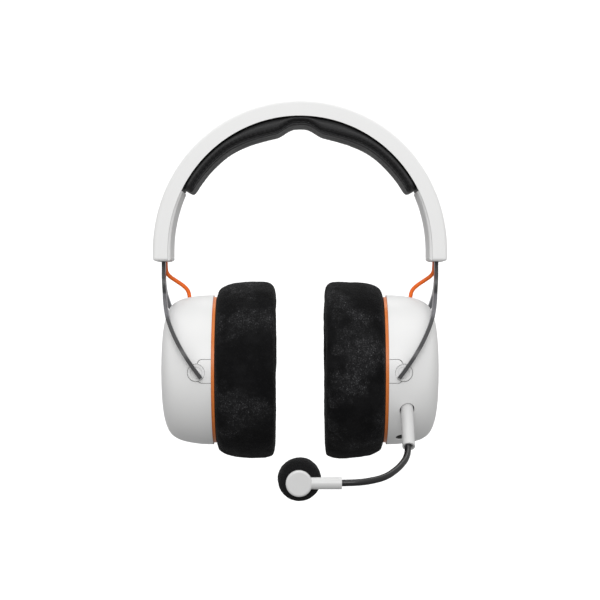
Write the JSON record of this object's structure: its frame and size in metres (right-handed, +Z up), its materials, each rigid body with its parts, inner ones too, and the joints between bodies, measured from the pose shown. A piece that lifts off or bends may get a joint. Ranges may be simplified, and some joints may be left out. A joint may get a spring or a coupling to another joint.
{
  "type": "gaming headset",
  "caption": "Over-ear headset with a padded arch headband, sliding wishbone yokes, tilting round ear cups, velour ear pads and a plug-in boom microphone.",
  "frame": {"origin": "underside of the headband pad at the centre, where it rests on the head", "axes": "+Z up, the wearer faces -Y, +X is the wearer's left, the side with the microphone"},
  "size_m": [0.1622, 0.1384, 0.2148],
  "materials": {
    "white_shell": "satin moulded white",
    "white_liner": "satin moulded white, slightly greyer",
    "mic_white": "satin moulded white",
    "black_plastic": "fine matt moulded black",
    "control_plastic": "fine matt moulded charcoal",
    "leatherette": "fine grained synthetic leather",
    "velour": "short pile velour",
    "foam": "open cell foam",
    "acoustic_cloth": "thin woven cloth",
    "spring_steel": "bright rolled spring steel",
    "screw_steel": "blackened steel",
    "magnet_steel": "plated steel",
    "contact_metal": "plated contact metal",
    "dark_metal": "satin anthracite",
    "orange_lead": "soft orange jacket",
    "orange_trim": "satin orange",
    "wire_jacket": "thin black jacket",
    "boom_rubber": "smooth dark rubber",
    "diaphragm_film": "translucent film",
    "circuit_board": "green solder mask"
  },
  "bodies": {
    "headband": {"headband_shell": "white_shell", "spring_band": "spring_steel", "pad_carrier": "black_plastic", "headband_pad": "leatherette", "guide_screws": "screw_steel", "crossover_wire": "wire_jacket", "headband_liner_left": "white_liner", "slider_guide_left": "black_plastic", "detent_spring_left": "spring_steel", "headband_liner_right": "white_liner", "slider_guide_right": "black_plastic", "detent_spring_right": "spring_steel"},
    "yoke_left": {"yoke_left": "dark_metal", "pivot_discs_left": "white_shell", "lead_left": "orange_lead"},
    "cup_left": {"cup_shell_left": "white_shell", "outer_cover_left": "white_shell", "pivot_inserts_left": "white_shell", "trim_ring_left": "orange_trim", "baffle_left": "black_plastic", "baffle_screws_left": "screw_steel", "driver_frame_left": "black_plastic", "diaphragm_left": "diaphragm_film", "driver_magnet_left": "magnet_steel", "damping_disc_left": "acoustic_cloth", "pad_mount_ring_left": "black_plastic", "ear_pad_left": "velour", "mic_socket": "black_plastic", "audio_socket": "black_plastic", "control_board": "circuit_board", "volume_potentiometer": "magnet_steel"},
    "yoke_right": {"yoke_right": "dark_metal", "pivot_discs_right": "white_shell", "lead_right": "orange_lead"},
    "cup_right": {"cup_shell_right": "white_shell", "outer_cover_right": "white_shell", "pivot_inserts_right": "white_shell", "trim_ring_right": "orange_trim", "baffle_right": "black_plastic", "baffle_screws_right": "screw_steel", "driver_frame_right": "black_plastic", "diaphragm_right": "diaphragm_film", "driver_magnet_right": "magnet_steel", "damping_disc_right": "acoustic_cloth", "pad_mount_ring_right": "black_plastic", "ear_pad_right": "velour"},
    "volume_wheel": {"volume_wheel": "control_plastic"},
    "mute_button": {"mute_button": "control_plastic"},
    "microphone": {"mic_plug": "mic_white", "mic_pin": "contact_metal", "mic_boom": "boom_rubber", "mic_housing": "mic_white", "mic_capsule": "contact_metal", "mic_foam": "foam"}
  },
  "joints": [
    {"name": "slider_left", "type": "slide", "parent": "headband", "child": "yoke_left", "axis": [0, 0, -1], "range_m": [0, 0.017]},
    {"name": "cup_tilt_left", "type": "hinge", "parent": "yoke_left", "child": "cup_left", "pos_m": [0.056, 0, -0.1358], "axis": [0, 1, 0], "range_deg": [-12, 2], "deforming": ["lead_left"]},
    {"name": "slider_right", "type": "slide", "parent": "headband", "child": "yoke_right", "axis": [0, 0, -1], "range_m": [0, 0.017]},
    {"name": "cup_tilt_right", "type": "hinge", "parent": "yoke_right", "child": "cup_right", "pos_m": [-0.056, 0, -0.1358], "axis": [0, -1, 0], "range_deg": [-12, 2], "deforming": ["lead_right"]},
    {"name": "mic_pull", "type": "slide", "parent": "cup_left", "child": "microphone", "axis": [0, -0.6691, -0.7431], "range_m": [0, 0.022]},
    {"name": "volume_turn", "type": "hinge", "parent": "cup_left", "child": "volume_wheel", "pos_m": [0.061, 0.02774, -0.15717], "axis": [1, 0, 0], "range_deg": [-140, 140]},
    {"name": "mute_press", "type": "slide", "parent": "cup_left", "child": "mute_button", "axis": [0, -0.4067, 0.9135], "range_m": [0, 0.0006], "stiffness_N_per_m": 900, "springref_m": -0.0006}
  ]
}
